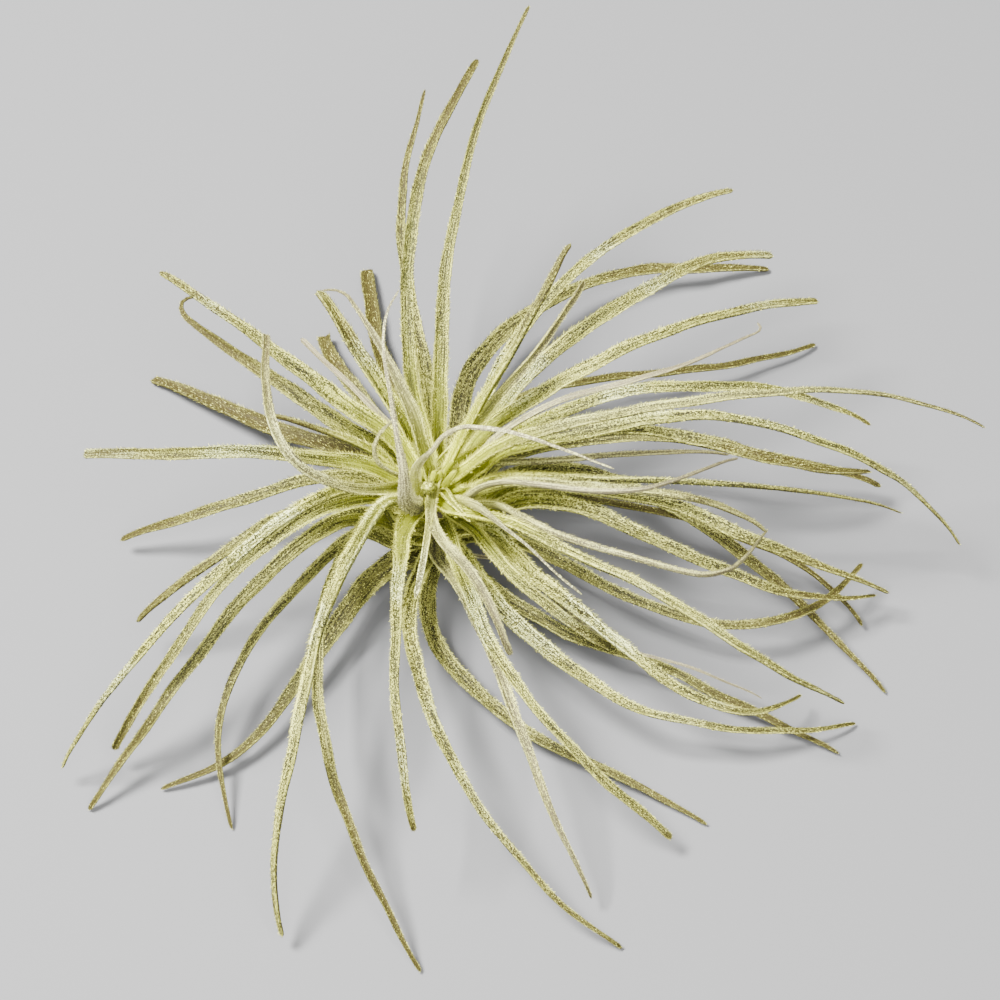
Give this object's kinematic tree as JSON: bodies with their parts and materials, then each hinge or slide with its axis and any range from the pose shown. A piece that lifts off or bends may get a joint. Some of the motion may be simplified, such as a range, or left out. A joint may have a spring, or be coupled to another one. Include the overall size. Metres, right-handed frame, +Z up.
{
  "type": "air plant",
  "caption": "Air plant lying unpotted: a rosette of narrow, channelled, arching leaves with silvery scales round a short stem.",
  "frame": {"origin": "middle of the flat spot under the stem, at the level that the plant rests on", "axes": "+Z up through the heart of the rosette, +X to the right and +Y away from the eye in the picture"},
  "size_m": [0.156, 0.1566, 0.0561],
  "materials": {
    "stem": "dry bark",
    "old_leaves": "matte, olive brown under fine scales",
    "leaves": "matte, silvery green under fine scales",
    "young_leaves": "matte, lime green under fine scales"
  },
  "bodies": {
    "root": {"stem": "stem", "heart_leaves": "young_leaves", "back_leaf_4": "old_leaves", "back_leaf_7": "old_leaves", "right_leaf_14": "old_leaves", "right_leaf_11": "old_leaves", "left_leaf_3": "old_leaves", "front_leaf_14": "old_leaves", "front_leaf_5": "old_leaves", "right_leaf_24": "old_leaves", "left_leaf_13": "old_leaves", "front_leaf_11": "old_leaves", "right_leaf_21": "old_leaves", "right_leaf_18b": "old_leaves", "left_leaf_7": "old_leaves", "right_leaf_23": "old_leaves", "right_leaf_3": "old_leaves", "front_leaf_16": "old_leaves", "front_leaf_2": "old_leaves", "left_leaf_12": "old_leaves", "back_leaf_3": "leaves", "right_leaf_18a": "leaves", "left_leaf_9": "leaves", "left_leaf_11": "leaves", "front_leaf_12": "leaves", "front_leaf_7": "leaves", "left_leaf_2": "leaves", "right_leaf_20": "leaves", "right_leaf_4": "leaves", "front_leaf_9": "leaves", "front_leaf_10": "leaves", "back_leaf_8": "leaves", "right_leaf_15": "leaves", "right_leaf_13": "leaves", "back_leaf_1": "leaves", "back_leaf_5": "leaves", "left_leaf_4": "leaves", "front_leaf_6": "leaves", "right_leaf_12": "leaves", "right_leaf_7": "leaves", "left_leaf_10": "leaves", "left_leaf_1": "leaves", "back_leaf_2": "leaves", "right_leaf_8": "leaves", "right_leaf_10": "leaves", "right_leaf_26": "leaves", "right_leaf_6": "leaves", "right_leaf_2": "leaves", "right_leaf_5": "leaves", "right_leaf_25": "leaves", "right_leaf_9": "leaves", "front_leaf_15": "leaves", "left_leaf_6": "leaves", "front_leaf_1": "leaves", "right_leaf_17": "leaves", "right_leaf_16": "leaves", "right_leaf_1": "leaves", "left_leaf_5": "leaves", "back_leaf_6": "leaves", "front_leaf_8": "leaves"}
  },
  "joints": []
}
